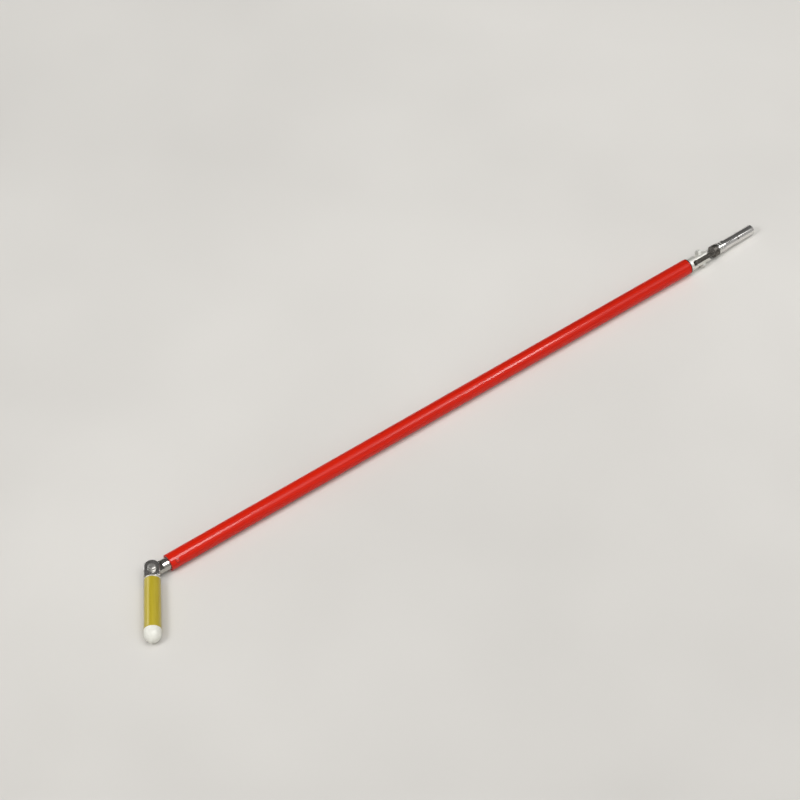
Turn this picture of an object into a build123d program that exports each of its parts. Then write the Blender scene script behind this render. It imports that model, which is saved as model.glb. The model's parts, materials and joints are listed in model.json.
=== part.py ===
from build123d import *
from math import asin, atan2, cos, degrees, hypot, radians, sin
import os

# Sizes are in millimetres and angles in degrees.

# Pole: a foam-filled epoxy-glass tube
TUBE_OD = 32.0
TUBE_WALL = 3.0
TUBE_LENGTH = 1250.0

# Gaps between pieces that are fixed together, and between pieces that move on each other
GLUE_LINE = 0.1
PRESS_GAP = 0.02
BOLT_HOLE_GAP = 0.2
RUNNING_GAP = 0.05
SLOT_GAP = 0.2
END_FLOAT = 0.3

# Tool end: fork in the tube's mouth, turned about the pole by the photographed angle
HEAD_ROLL = 45.0
SEAL_THICKNESS = 2.4
SEAL_LIP = 2.1
SPIGOT_LENGTH = 60.0
SPIGOT_CHAMFER = 0.8
FORK_SHOULDER = 0.6
SEAL_TO_HEAD_PIVOT = 34.6
HEAD_SLOT_WIDTH = 10.0
HEAD_SLOT_DEPTH = 27.0
HEAD_SLOT_RELIEF = 12.0
HEAD_EAR_THICKNESS = 5.0
HEAD_EAR_TIP = 19.0
HEAD_FLAT_LENGTH = 36.0

# Tool end: swinging tongue with its collar
HEAD_TONGUE_HEIGHT = 20.0
HEAD_TONGUE_TAIL = 23.5
HEAD_PIVOT_TO_COLLAR = 33.0
COLLAR_TAPER_LENGTH = 6.0
COLLAR_TAPER_DIAMETER = 14.0
COLLAR_DIAMETER = 25.0
COLLAR_LENGTH = 12.0
COLLAR_CHAMFER = 0.8
COLLAR_FLOOR = 2.5
COLLAR_PIN_DIAMETER = 4.0
COLLAR_PIN_SHORT = 0.3

# Tool end: chrome shank
SHANK_DIAMETER = 21.0
SHANK_LENGTH = 80.0
SHANK_TIP_CHAMFER = 2.0
SHANK_TAIL_DIAMETER = 13.0
SHOULDER_STEP = 1.0
SHOULDER_LENGTH = 20.0
RING_COUNT = 2
COLLAR_TO_FIRST_RING = 3.2
RING_PITCH = 6.0
RING_WIDTH = 2.2
RING_DEPTH = 1.7
RING_STAND = 0.4
CROSS_HOLE_DIAMETER = 6.0
CROSS_HOLE_TO_TIP = 46.0

# Near end: chrome shank in the tube's mouth
SLEEVE_WALL = 1.0
LOWER_SHANK_HOLD = 70.0
TUBE_TO_KNUCKLE_PIVOT = 34.0
KNUCKLE_TONGUE_THICKNESS = 12.0
KNUCKLE_TONGUE_ROOM = 1.2
RIVET_DIAMETER = 5.0
RIVET_HEAD_DIAMETER = 8.5
RIVET_HEAD_HEIGHT = 0.9
RIVET_TO_TUBE_END = 14.0
RIVET_ANGLE = 50.0

# Near end: fork of the folding handle, bent from the pole's line by the photographed angle
HANDLE_BEND = 58.0
KNUCKLE_EAR_MARGIN = 3.0
KNUCKLE_EAR_TIP = 19.5
KNUCKLE_EAR_ROUND = 1.6
KNUCKLE_EAR_THICKNESS = 5.8
KNUCKLE_SLOT_ROOM = 1.0
KNUCKLE_WEB = 3.0
NUT_RECESS_DEPTH = 3.4
NUT_RECESS_ROOM = 1.5
NECK_WALL = 3.0
NECK_LENGTH = 24.0
FERRULE_WALL = 5.8
FERRULE_LENGTH = 2.7

# Grip on its spindle
SPINDLE_DIAMETER = 12.0
SPINDLE_HOLD = 18.0
SPINDLE_STEP = 1.0
SPINDLE_WASHER_THICKNESS = 2.0
SPINDLE_WASHER_DIAMETER = 20.0
SPINDLE_NUT_FLATS = 17.0
SPINDLE_NUT_HEIGHT = 8.0
SPINDLE_NUT_ROOM = 1.7
SPINDLE_OVERHANG = 2.0
GRIP_LENGTH = 108.0
GRIP_FRONT_WALL = 3.9
GRIP_REAR_WALL = 4.285
GRIP_EDGE = 0.8
GRIP_BUSH_LENGTH = 14.0
CAP_LIP = 0.2
CAP_SKIRT = 9.0
CAP_PLUG_LENGTH = 5.0

# Pivot bolts, one size at both ends
BOLT_DIAMETER = 8.0
BOLT_FLATS = 13.0
BOLT_HEAD_HEIGHT = 4.8
BOLT_TIP_CHAMFER = 0.8
HEX_CHAMFER = 0.7
HEX_FACE_MARGIN = 0.3
WASHER_DIAMETER = 16.0
WASHER_THICKNESS = 1.2
HEAD_NUT_HEIGHT = 6.5
HEAD_BOLT_OVERHANG = 2.0
KNUCKLE_NUT_HEIGHT = 5.0
KNUCKLE_BOLT_OVERHANG = 0.4
PIVOT_BUSH_WALL = 1.5

# Fits that follow from the sizes
tube_bore = TUBE_OD - 2 * TUBE_WALL
bonded_diameter = tube_bore - 2 * GLUE_LINE
fork_diameter = bonded_diameter + 2 * FORK_SHOULDER
head_flat_width = HEAD_SLOT_WIDTH + 2 * HEAD_EAR_THICKNESS
head_tongue_thickness = HEAD_SLOT_WIDTH - 2 * SLOT_GAP
shoulder_diameter = SHANK_DIAMETER + 2 * SHOULDER_STEP
shank_tail_length = COLLAR_LENGTH - COLLAR_FLOOR
lower_shank_diameter = bonded_diameter - 2 * SLEEVE_WALL - 2 * GLUE_LINE
knuckle_tongue_radius = lower_shank_diameter / 2
handle_fork_diameter = lower_shank_diameter + 2 * KNUCKLE_EAR_MARGIN
handle_slot_width = KNUCKLE_TONGUE_THICKNESS + 2 * SLOT_GAP
handle_flat_height = handle_slot_width + 2 * KNUCKLE_EAR_THICKNESS
handle_slot_depth = knuckle_tongue_radius + KNUCKLE_SLOT_ROOM
neck_diameter = SPINDLE_DIAMETER + 2 * NECK_WALL
ferrule_diameter = neck_diameter + 2 * FERRULE_WALL
spindle_thread_diameter = SPINDLE_DIAMETER - 2 * SPINDLE_STEP
grip_bore = SPINDLE_NUT_FLATS / cos(radians(30)) + 2 * SPINDLE_NUT_ROOM
grip_front_diameter = grip_bore + 2 * GRIP_FRONT_WALL
grip_rear_diameter = grip_bore + 2 * GRIP_REAR_WALL
grip_bush_diameter = grip_bore - 2 * PRESS_GAP
cap_diameter = grip_rear_diameter + 2 * CAP_LIP
bolt_hole = BOLT_DIAMETER + 2 * BOLT_HOLE_GAP
nut_hole = BOLT_DIAMETER + 2 * PRESS_GAP
pivot_bore = BOLT_DIAMETER + 2 * RUNNING_GAP
pivot_bush_diameter = pivot_bore + 2 * PIVOT_BUSH_WALL
pivot_bush_hole = pivot_bush_diameter + 2 * PRESS_GAP
rivet_hole = RIVET_DIAMETER + 2 * GLUE_LINE

# Stations along the head, measured from the head pivot
shoulder_start = HEAD_PIVOT_TO_COLLAR + COLLAR_LENGTH
shank_start = shoulder_start + SHOULDER_LENGTH
shank_tip = shank_start + SHANK_LENGTH
shank_wall_end = shank_tip - SHANK_TIP_CHAMFER
shank_tail_start = shoulder_start - shank_tail_length
collar_pin_station = HEAD_PIVOT_TO_COLLAR + COLLAR_FLOOR + shank_tail_length / 2

# Stations along the pole, measured from the head pivot
fork_shoulder_station = -SEAL_TO_HEAD_PIVOT
tube_far_end = fork_shoulder_station - SEAL_THICKNESS
tube_near_end = tube_far_end - TUBE_LENGTH
spigot_end = tube_far_end - SPIGOT_LENGTH
lower_shank_end = tube_near_end + LOWER_SHANK_HOLD
knuckle_station = tube_near_end - TUBE_TO_KNUCKLE_PIVOT
rivet_station = tube_near_end + RIVET_TO_TUBE_END

# Stations along the handle, measured from the knuckle pivot
fork_back = handle_slot_depth + KNUCKLE_WEB
ferrule_end = fork_back + FERRULE_LENGTH
neck_end = fork_back + NECK_LENGTH
grip_start = ferrule_end + END_FLOAT
grip_end = grip_start + GRIP_LENGTH
front_bush_start = neck_end + END_FLOAT
spindle_start = neck_end - SPINDLE_HOLD
cap_plug_start = grip_end - CAP_PLUG_LENGTH
spindle_end = cap_plug_start - END_FLOAT
spindle_nut_end = spindle_end - SPINDLE_OVERHANG
spindle_nut_start = spindle_nut_end - SPINDLE_NUT_HEIGHT
spindle_shoulder = spindle_nut_start - SPINDLE_WASHER_THICKNESS
rear_bush_start = spindle_shoulder - END_FLOAT - GRIP_BUSH_LENGTH

# The loose head droops until the tip of its shank lies on the same floor as the tube
shank_radius = SHANK_DIAMETER / 2
shank_slope = asin(TUBE_OD / 2 / hypot(shank_wall_end, shank_radius)) - atan2(shank_radius, shank_wall_end)
head_droop = degrees(asin(sin(shank_slope) / cos(radians(HEAD_ROLL))))

# Frames: X along each piece's axis, with the origin of the model on the shank's axis where its plain wall starts
pole_line = Vector(1, 0, 0)
upright = Vector(0, 0, 1)
head_bolt_line = Vector(0, cos(radians(HEAD_ROLL)), sin(radians(HEAD_ROLL)))
head_line = pole_line.rotate(Axis((0, 0, 0), head_bolt_line), head_droop)
handle_line = (-pole_line).rotate(Axis.Z, HANDLE_BEND)
head_pivot = head_line * -shank_start
knuckle_pivot = head_pivot + pole_line * knuckle_station

pole_frame = Plane(origin=head_pivot, x_dir=pole_line, z_dir=upright)
fork_frame = Plane(origin=head_pivot, x_dir=pole_line, z_dir=pole_line.cross(head_bolt_line))
head_frame = Plane(origin=head_pivot, x_dir=head_line, z_dir=head_line.cross(head_bolt_line))
knuckle_frame = Plane(origin=knuckle_pivot, x_dir=pole_line, z_dir=upright)
handle_frame = Plane(origin=knuckle_pivot, x_dir=handle_line, z_dir=upright)


def crosswise(frame, station, line):
    """A frame whose X axis follows a line that crosses another frame's X axis at one station."""
    return Plane(origin=frame.from_local_coords((station, 0, 0)), x_dir=line, z_dir=frame.x_dir)


def axial_plane(frame):
    """The plane through a frame's X and Z axes, for the half profile of a turned piece."""
    return Plane(origin=frame.origin, x_dir=frame.x_dir, z_dir=-frame.y_dir)


def across_plane(frame, station):
    """The plane square to a frame's X axis at one station."""
    return Plane(origin=frame.from_local_coords((station, 0, 0)), x_dir=frame.y_dir, z_dir=frame.x_dir)


def turned(frame, outline):
    """A piece turned on a lathe about a frame's X axis, from its half outline of (station, radius)."""
    with BuildPart() as piece:
        with BuildSketch(axial_plane(frame)):
            with BuildLine():
                Polyline(*outline, close=True)
            make_face()
        revolve(axis=Axis(frame.origin, frame.x_dir))
    return piece.part


def rod(frame, start, end, diameter, chamfer_size=0.0):
    """A round bar about a frame's X axis, with its far end chamfered if asked."""
    radius = diameter / 2
    if chamfer_size == 0:
        return turned(frame, [(start, 0), (start, radius), (end, radius), (end, 0)])
    turn = chamfer_size if end > start else -chamfer_size
    return turned(
        frame, [(start, 0), (start, radius), (end - turn, radius), (end, radius - chamfer_size), (end, 0)]
    )


def ring(frame, start, end, outer_diameter, inner_diameter):
    """A washer, bush or sleeve about a frame's X axis between two stations."""
    inner = inner_diameter / 2
    outer = outer_diameter / 2
    return turned(frame, [(start, inner), (end, inner), (end, outer), (start, outer)])


def hexagon(frame, seat, end, flats):
    """A hexagon prism about a frame's X axis, with the corners of its free end turned off."""
    corner = flats / 2 / cos(radians(30))
    face_radius = flats / 2 - HEX_FACE_MARGIN
    turn = HEX_CHAMFER if end > seat else -HEX_CHAMFER
    with BuildPart() as piece:
        with BuildSketch(across_plane(frame, seat)):
            RegularPolygon(flats / 2, 6, major_radius=False, rotation=30)
        extrude(amount=end - seat)
        blank = [(seat, 0), (seat, corner), (end - turn, corner), (end, face_radius), (end, 0)]
        add(turned(frame, blank), mode=Mode.INTERSECT)
    return piece.part


def hex_bolt(frame, seat, tip):
    """A hexagon-head bolt: the head stands on its seat, on the side away from the tip."""
    head_end = seat + BOLT_HEAD_HEIGHT if seat > tip else seat - BOLT_HEAD_HEIGHT
    with BuildPart() as piece:
        add(hexagon(frame, seat, head_end, BOLT_FLATS))
        add(rod(frame, seat, tip, BOLT_DIAMETER, BOLT_TIP_CHAMFER))
    return piece.part


def hex_nut(frame, seat, end, flats, hole):
    """A hexagon nut between its seat and its free end."""
    with BuildPart() as piece:
        add(hexagon(frame, seat, end, flats))
        add(rod(frame, seat, end, hole), mode=Mode.SUBTRACT)
    return piece.part


def drill(frame, diameter, reach):
    """Cut a round hole through the piece in hand, along a frame's X axis and to both sides of its origin."""
    add(rod(frame, -reach, reach, diameter), mode=Mode.SUBTRACT)


def write(piece, name):
    """Name a finished piece and save it."""
    piece.label = name
    export_step(piece, "parts/" + name + ".step")


os.makedirs("parts", exist_ok=True)

# Lines that cross the long pieces: the two pivot bolts, the rivet, the collar's pin and the shank's cross hole
rivet_line = Vector(0, -sin(radians(RIVET_ANGLE)), cos(radians(RIVET_ANGLE)))
head_bolt_frame = crosswise(fork_frame, 0, head_bolt_line)
head_eye_frame = crosswise(head_frame, 0, head_bolt_line)
knuckle_bolt_frame = crosswise(handle_frame, 0, upright)
knuckle_eye_frame = crosswise(knuckle_frame, 0, upright)
rivet_frame = crosswise(pole_frame, rivet_station, rivet_line)
collar_pin_frame = crosswise(head_frame, collar_pin_station, head_bolt_line)
cross_hole_frame = crosswise(head_frame, shank_tip - CROSS_HOLE_TO_TIP, head_frame.z_dir)

# Pole tube: the red insulating tube, square at both ends and drilled for the rivet
with BuildPart() as pole_tube:
    add(ring(pole_frame, tube_near_end, tube_far_end, TUBE_OD, tube_bore))
    drill(rivet_frame, rivet_hole, TUBE_OD)
write(pole_tube.part, "pole_tube")

# Foam core: fills the tube between its two end pieces
foam_core = rod(pole_frame, lower_shank_end + GLUE_LINE, spigot_end - GLUE_LINE, bonded_diameter)
write(foam_core, "foam_core")

# Head seal: a dark ring between the tube's far end and the fork's shoulder
seal_diameter = fork_diameter + 2 * SEAL_LIP
head_seal = ring(pole_frame, tube_far_end, fork_shoulder_station, seal_diameter, tube_bore)
write(head_seal, "head_seal")

# Head fork: a spigot glued into the tube, a round body and two ears with flats for the bolt
with BuildPart() as head_fork:
    fork_outline = [
        (spigot_end, 0),
        (spigot_end, bonded_diameter / 2 - SPIGOT_CHAMFER),
        (spigot_end + SPIGOT_CHAMFER, bonded_diameter / 2),
        (fork_shoulder_station, bonded_diameter / 2),
        (fork_shoulder_station, fork_diameter / 2),
        (HEAD_EAR_TIP, fork_diameter / 2),
        (HEAD_EAR_TIP, 0),
    ]
    add(turned(fork_frame, fork_outline))
    with BuildSketch(axial_plane(fork_frame)):
        ear_centre = HEAD_EAR_TIP - fork_diameter / 2
        straight_length = ear_centre - spigot_end
        with Locations((ear_centre - straight_length / 2, 0)):
            Rectangle(straight_length, fork_diameter)
        with Locations((ear_centre, 0)):
            Circle(fork_diameter / 2)
    extrude(amount=fork_diameter, both=True, mode=Mode.INTERSECT)
    with BuildSketch(fork_frame):
        slot_length = HEAD_SLOT_DEPTH + HEAD_EAR_TIP
        with Locations((HEAD_EAR_TIP - HEAD_FLAT_LENGTH / 2, 0)):
            Rectangle(HEAD_FLAT_LENGTH, 2 * fork_diameter)
            Rectangle(HEAD_FLAT_LENGTH, head_flat_width, mode=Mode.SUBTRACT)
        with Locations((HEAD_EAR_TIP - slot_length / 2, 0)):
            Rectangle(slot_length, HEAD_SLOT_WIDTH)
        with Locations((HEAD_SLOT_RELIEF / 2 - HEAD_SLOT_DEPTH, 0)):
            Circle(HEAD_SLOT_RELIEF / 2)
    extrude(amount=fork_diameter, both=True, mode=Mode.SUBTRACT)
    drill(head_bolt_frame, bolt_hole, fork_diameter)
write(head_fork.part, "head_fork")

# Head bolt, nut and washers: the cross bolt that the tongue swings on, with its head on the lower side
head_seat = head_flat_width / 2 + WASHER_THICKNESS
head_nut_end = head_seat + HEAD_NUT_HEIGHT
head_bolt = hex_bolt(head_bolt_frame, -head_seat, head_nut_end + HEAD_BOLT_OVERHANG)
write(head_bolt, "head_bolt")

head_nut = hex_nut(head_bolt_frame, head_seat, head_nut_end, BOLT_FLATS, nut_hole)
write(head_nut, "head_nut")

with BuildPart() as head_washers:
    for side in (1, -1):
        add(ring(head_bolt_frame, side * head_flat_width / 2, side * head_seat, WASHER_DIAMETER, bolt_hole))
write(head_washers.part, "head_washers")

# Head tongue: a dark steel bar with a round tail that swings in the fork, with a collar for the shank
with BuildPart() as head_tongue:
    with BuildSketch(axial_plane(head_frame)):
        tongue_end = HEAD_PIVOT_TO_COLLAR + COLLAR_FLOOR / 2
        tail_centre = HEAD_TONGUE_HEIGHT / 2 - HEAD_TONGUE_TAIL
        with Locations(((tail_centre + tongue_end) / 2, 0)):
            Rectangle(tongue_end - tail_centre, HEAD_TONGUE_HEIGHT)
        with Locations((tail_centre, 0)):
            Circle(HEAD_TONGUE_HEIGHT / 2)
    extrude(amount=head_tongue_thickness / 2, both=True)
    collar_radius = COLLAR_DIAMETER / 2
    taper_start = HEAD_PIVOT_TO_COLLAR - COLLAR_TAPER_LENGTH
    collar_outline = [
        (taper_start, 0),
        (taper_start, COLLAR_TAPER_DIAMETER / 2),
        (HEAD_PIVOT_TO_COLLAR, collar_radius),
        (shoulder_start - COLLAR_CHAMFER, collar_radius),
        (shoulder_start, collar_radius - COLLAR_CHAMFER),
        (shoulder_start, 0),
    ]
    add(turned(head_frame, collar_outline))
    tail_hole = SHANK_TAIL_DIAMETER + 2 * GLUE_LINE
    add(rod(head_frame, shank_tail_start, shoulder_start, tail_hole), mode=Mode.SUBTRACT)
    drill(head_eye_frame, pivot_bush_hole, HEAD_SLOT_WIDTH)
    drill(collar_pin_frame, COLLAR_PIN_DIAMETER + 2 * PRESS_GAP, COLLAR_DIAMETER)
write(head_tongue.part, "head_tongue")

# Head bush: a bronze bush pressed into the tongue's eye
half_tongue = head_tongue_thickness / 2
head_bush = ring(head_eye_frame, -half_tongue, half_tongue, pivot_bush_diameter, pivot_bore)
write(head_bush, "head_bush")

# Tool shank: a solid chrome bar with a tail in the collar, a grooved shoulder and a cross hole near its tip
groove_radius = shoulder_diameter / 2 - RING_DEPTH
ring_starts = [shoulder_start + COLLAR_TO_FIRST_RING + RING_PITCH * place for place in range(RING_COUNT)]
with BuildPart() as tool_shank:
    shank_outline = [
        (shank_tail_start, 0),
        (shank_tail_start, SHANK_TAIL_DIAMETER / 2),
        (shoulder_start, SHANK_TAIL_DIAMETER / 2),
        (shoulder_start, shoulder_diameter / 2),
        (shank_start - SHOULDER_STEP, shoulder_diameter / 2),
        (shank_start, shank_radius),
        (shank_wall_end, shank_radius),
        (shank_tip, shank_radius - SHANK_TIP_CHAMFER),
        (shank_tip, 0),
    ]
    add(turned(head_frame, shank_outline))
    for start in ring_starts:
        groove = ring(head_frame, start, start + RING_WIDTH, 2 * shoulder_diameter, 2 * groove_radius)
        add(groove, mode=Mode.SUBTRACT)
    drill(cross_hole_frame, CROSS_HOLE_DIAMETER, SHANK_DIAMETER)
    drill(collar_pin_frame, COLLAR_PIN_DIAMETER + 2 * PRESS_GAP, COLLAR_DIAMETER)
write(tool_shank.part, "tool_shank")

# Collar pin: locks the shank's tail in the collar, just short of flush at both ends
pin_reach = COLLAR_DIAMETER / 2 - COLLAR_PIN_SHORT
collar_pin = rod(collar_pin_frame, -pin_reach, pin_reach, COLLAR_PIN_DIAMETER)
write(collar_pin, "collar_pin")

# Shank rings: wire rings in the shoulder's grooves, which stop a fitted tool from rattling
with BuildPart() as shank_rings:
    ring_outer = shoulder_diameter + 2 * RING_STAND
    ring_inner = 2 * (groove_radius + GLUE_LINE)
    for start in ring_starts:
        add(ring(head_frame, start + GLUE_LINE, start + RING_WIDTH - GLUE_LINE, ring_outer, ring_inner))
write(shank_rings.part, "shank_rings")

# Lower shank: a chrome bar in the tube's near end, flattened to a tongue with a round end
with BuildPart() as lower_shank:
    hold_end = TUBE_TO_KNUCKLE_PIVOT + LOWER_SHANK_HOLD
    round_start = KNUCKLE_EAR_TIP + KNUCKLE_TONGUE_ROOM
    add(rod(knuckle_frame, -knuckle_tongue_radius, hold_end, lower_shank_diameter))
    with BuildSketch(knuckle_frame):
        with Locations((hold_end / 2, 0)):
            Rectangle(hold_end, lower_shank_diameter)
        Circle(knuckle_tongue_radius)
    extrude(amount=lower_shank_diameter, both=True, mode=Mode.INTERSECT)
    with BuildSketch(axial_plane(knuckle_frame)):
        flat_length = round_start + lower_shank_diameter
        with Locations((round_start - flat_length / 2, 0)):
            Rectangle(flat_length, 2 * lower_shank_diameter)
            Rectangle(flat_length, KNUCKLE_TONGUE_THICKNESS, mode=Mode.SUBTRACT)
    extrude(amount=lower_shank_diameter, both=True, mode=Mode.SUBTRACT)
    drill(knuckle_eye_frame, pivot_bush_hole, lower_shank_diameter)
    drill(rivet_frame, rivet_hole, lower_shank_diameter)
write(lower_shank.part, "lower_shank")

# Lower sleeve: a spacer glued between the lower shank and the tube
with BuildPart() as lower_sleeve:
    sleeve_bore = lower_shank_diameter + 2 * GLUE_LINE
    add(ring(pole_frame, tube_near_end, lower_shank_end, bonded_diameter, sleeve_bore))
    drill(rivet_frame, rivet_hole, TUBE_OD)
write(lower_sleeve.part, "lower_sleeve")

# Lower rivet: goes right through tube, sleeve and shank, with a low head on each side
with BuildPart() as lower_rivet:
    head_reach = TUBE_OD / 2 + RIVET_HEAD_HEIGHT
    head_bevel = RIVET_HEAD_HEIGHT / 2
    head_radius = RIVET_HEAD_DIAMETER / 2
    rivet_outline = [
        (-head_reach, 0),
        (-head_reach, head_radius - head_bevel),
        (-head_reach + head_bevel, head_radius),
        (head_reach - head_bevel, head_radius),
        (head_reach, head_radius - head_bevel),
        (head_reach, 0),
    ]
    add(turned(rivet_frame, rivet_outline))
    rivet_clear = 2 * RIVET_HEAD_DIAMETER
    tube_outside = rod(pole_frame, rivet_station - rivet_clear, rivet_station + rivet_clear, TUBE_OD)
    add(tube_outside, mode=Mode.SUBTRACT)
    add(rod(rivet_frame, head_bevel - head_reach, head_reach - head_bevel, RIVET_DIAMETER))
write(lower_rivet.part, "lower_rivet")

# Knuckle bush: a bronze bush pressed into the lower shank's tongue
half_eye = KNUCKLE_TONGUE_THICKNESS / 2
knuckle_bush = ring(knuckle_eye_frame, -half_eye, half_eye, pivot_bush_diameter, pivot_bore)
write(knuckle_bush, "knuckle_bush")

# Handle fork: two thick round-ended ears over and under the tongue, a web, and a neck that holds the spindle
recess_floor = handle_flat_height / 2 - NUT_RECESS_DEPTH
with BuildPart() as handle_fork:
    ear_radius = handle_fork_diameter / 2
    ear_centre = ear_radius - KNUCKLE_EAR_TIP
    with BuildSketch(handle_frame):
        with Locations(((ear_centre + fork_back) / 2, 0)):
            Rectangle(fork_back - ear_centre, handle_fork_diameter)
        with Locations((ear_centre, 0)):
            Circle(ear_radius)
    extrude(amount=handle_flat_height / 2, both=True)
    fillet(handle_fork.faces().filter_by(Axis.Z).edges(), KNUCKLE_EAR_ROUND)
    with BuildSketch(axial_plane(handle_frame)):
        opening_length = handle_slot_depth + KNUCKLE_EAR_TIP
        with Locations((handle_slot_depth - opening_length / 2, 0)):
            Rectangle(opening_length, handle_slot_width)
    extrude(amount=handle_fork_diameter, both=True, mode=Mode.SUBTRACT)
    add(rod(handle_frame, fork_back, neck_end, neck_diameter))
    spindle_hole = SPINDLE_DIAMETER + 2 * PRESS_GAP
    add(rod(handle_frame, spindle_start, neck_end, spindle_hole), mode=Mode.SUBTRACT)
    drill(knuckle_bolt_frame, bolt_hole, handle_fork_diameter)
    recess_diameter = WASHER_DIAMETER + 2 * NUT_RECESS_ROOM
    add(rod(knuckle_bolt_frame, -recess_floor, -handle_fork_diameter, recess_diameter), mode=Mode.SUBTRACT)
write(handle_fork.part, "handle_fork")

# Knuckle bolt, nut and washers: the upright bolt that the handle folds on, with its nut in the lower recess
knuckle_seat = handle_flat_height / 2 + WASHER_THICKNESS
knuckle_nut_seat = -recess_floor - WASHER_THICKNESS
knuckle_nut_end = knuckle_nut_seat - KNUCKLE_NUT_HEIGHT
knuckle_bolt = hex_bolt(knuckle_bolt_frame, knuckle_seat, knuckle_nut_end - KNUCKLE_BOLT_OVERHANG)
write(knuckle_bolt, "knuckle_bolt")

knuckle_nut = hex_nut(knuckle_bolt_frame, knuckle_nut_seat, knuckle_nut_end, BOLT_FLATS, nut_hole)
write(knuckle_nut, "knuckle_nut")

with BuildPart() as knuckle_washers:
    add(ring(knuckle_bolt_frame, handle_flat_height / 2, knuckle_seat, WASHER_DIAMETER, bolt_hole))
    add(ring(knuckle_bolt_frame, -recess_floor, knuckle_nut_seat, WASHER_DIAMETER, bolt_hole))
write(knuckle_washers.part, "knuckle_washers")

# Grip ferrule: a light-metal ring on the neck, between the fork and the grip
ferrule_bore = neck_diameter + 2 * PRESS_GAP
grip_ferrule = ring(handle_frame, fork_back, ferrule_end, ferrule_diameter, ferrule_bore)
write(grip_ferrule, "grip_ferrule")

# Grip spindle: a steel rod held in the neck, stepped down to a thread at its far end
with BuildPart() as grip_spindle:
    add(rod(handle_frame, spindle_start, spindle_shoulder, SPINDLE_DIAMETER))
    add(rod(handle_frame, spindle_shoulder, spindle_end, spindle_thread_diameter, BOLT_TIP_CHAMFER))
write(grip_spindle.part, "grip_spindle")

# Spindle washer and nut: keep the grip on its spindle
thread_hole = spindle_thread_diameter + 2 * PRESS_GAP
spindle_washer = ring(handle_frame, spindle_shoulder, spindle_nut_start, SPINDLE_WASHER_DIAMETER, thread_hole)
write(spindle_washer, "spindle_washer")

spindle_nut = hex_nut(handle_frame, spindle_nut_start, spindle_nut_end, SPINDLE_NUT_FLATS, thread_hole)
write(spindle_nut, "spindle_nut")

# Grip sleeve: the yellow plastic grip, a little wider towards its end
front_radius = grip_front_diameter / 2
grip_outline = [
    (grip_start, grip_bore / 2),
    (grip_end, grip_bore / 2),
    (grip_end, grip_rear_diameter / 2),
    (grip_start + GRIP_EDGE, front_radius),
    (grip_start, front_radius - GRIP_EDGE),
]
grip_sleeve = turned(handle_frame, grip_outline)
write(grip_sleeve, "grip_sleeve")

# Grip bushes: two plastic bushes in the sleeve that run on the spindle
grip_bush_bore = SPINDLE_DIAMETER + 2 * RUNNING_GAP
front_bush_end = front_bush_start + GRIP_BUSH_LENGTH
front_bush = ring(handle_frame, front_bush_start, front_bush_end, grip_bush_diameter, grip_bush_bore)
write(front_bush, "front_bush")

rear_bush_end = rear_bush_start + GRIP_BUSH_LENGTH
rear_bush = ring(handle_frame, rear_bush_start, rear_bush_end, grip_bush_diameter, grip_bush_bore)
write(rear_bush, "rear_bush")

# End cap: the white cap, a plug in the sleeve with a short skirt and a domed end
with BuildPart() as end_cap:
    cap_radius = cap_diameter / 2
    dome_start = grip_end + CAP_SKIRT
    with BuildSketch(axial_plane(handle_frame)):
        with BuildLine():
            Polyline(
                (dome_start + cap_radius, 0),
                (cap_plug_start, 0),
                (cap_plug_start, grip_bush_diameter / 2),
                (grip_end, grip_bush_diameter / 2),
                (grip_end, cap_radius),
                (dome_start, cap_radius),
            )
            CenterArc((dome_start, 0), cap_radius, 0, 90)
        make_face()
    revolve(axis=Axis(handle_frame.origin, handle_frame.x_dir))
write(end_cap.part, "end_cap")
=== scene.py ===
import json
from math import cos, pi, radians, sin, sqrt

import bmesh
import bpy
from mathutils import Matrix, Vector


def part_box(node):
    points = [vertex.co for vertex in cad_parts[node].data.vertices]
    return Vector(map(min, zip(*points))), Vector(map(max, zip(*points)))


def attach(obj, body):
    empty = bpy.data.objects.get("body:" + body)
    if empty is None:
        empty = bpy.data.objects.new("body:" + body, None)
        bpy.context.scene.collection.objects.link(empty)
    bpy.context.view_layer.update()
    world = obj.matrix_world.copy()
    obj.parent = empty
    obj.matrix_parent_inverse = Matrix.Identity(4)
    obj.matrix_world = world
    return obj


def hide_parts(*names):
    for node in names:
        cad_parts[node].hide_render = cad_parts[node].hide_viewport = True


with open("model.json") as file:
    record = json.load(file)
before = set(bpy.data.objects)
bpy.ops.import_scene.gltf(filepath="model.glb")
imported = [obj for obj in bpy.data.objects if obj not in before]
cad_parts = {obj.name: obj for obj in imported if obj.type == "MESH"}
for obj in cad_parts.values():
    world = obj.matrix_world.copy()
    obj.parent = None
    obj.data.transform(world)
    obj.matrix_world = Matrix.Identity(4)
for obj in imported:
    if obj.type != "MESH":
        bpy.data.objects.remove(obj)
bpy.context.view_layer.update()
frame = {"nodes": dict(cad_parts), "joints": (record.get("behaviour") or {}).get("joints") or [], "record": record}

# Camera: it stands off the near end of the stick and looks down across it through a long lens, so that
# the pole runs from the lower left of a square picture to its upper right.
CAMERA_PLACE = (-2.4078, -2.14395, 3.2544)
CAMERA_TURN = (radians(90 - 49.91), 0, radians(-36.42))
SENSOR_WIDTH = 36.0
LONG_LENS = 99.0
SIGHT_END = 200.0
photo_camera = bpy.data.objects.new("photo_camera", bpy.data.cameras.new("photo_camera"))
photo_camera.data.sensor_width = SENSOR_WIDTH
photo_camera.data.lens = LONG_LENS
photo_camera.data.clip_end = SIGHT_END
photo_camera.location = CAMERA_PLACE
photo_camera.rotation_euler = CAMERA_TURN
bpy.context.scene.collection.objects.link(photo_camera)
bpy.context.scene.camera = photo_camera
bpy.context.scene.view_settings.view_transform = "Standard"

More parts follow.
